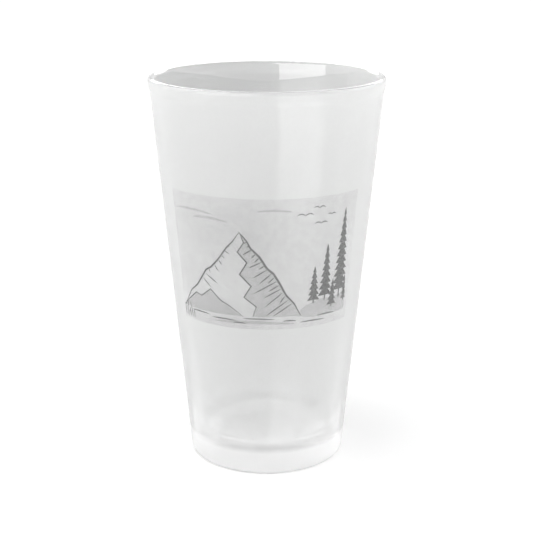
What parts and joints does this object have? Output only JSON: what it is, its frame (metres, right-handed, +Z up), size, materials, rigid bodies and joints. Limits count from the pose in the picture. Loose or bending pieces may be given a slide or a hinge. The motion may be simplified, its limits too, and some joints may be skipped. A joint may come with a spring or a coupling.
{
  "type": "pint glass",
  "caption": "Tapered frosted pint glass with a heavy base, rounded lip and rim bead, and a grey landscape picture wrapped round the front.",
  "frame": {"origin": "centre of the base, on the plane that the glass stands on", "axes": "+Z up along the axis of the glass to its mouth, -Y to the front where the picture's middle faces, +X to the viewer's right when facing the picture"},
  "size_m": [0.0892, 0.0892, 0.1492],
  "materials": {
    "glass": "clear tempered soda-lime glass, fire-polished inside and over the lip",
    "frosting": "sprayed satin frosting, translucent white with a very fine grain",
    "ink_light": "thin, nearly transparent pale grey ink, satin",
    "ink_mid": "half-tone mid grey ink, satin",
    "ink_dark": "dark grey line ink, satin"
  },
  "bodies": {
    "root": {"glass_body": "glass", "frost_coating": "frosting", "print_ground": "ink_light", "print_midtones": "ink_mid", "print_linework": "ink_dark"}
  },
  "joints": []
}
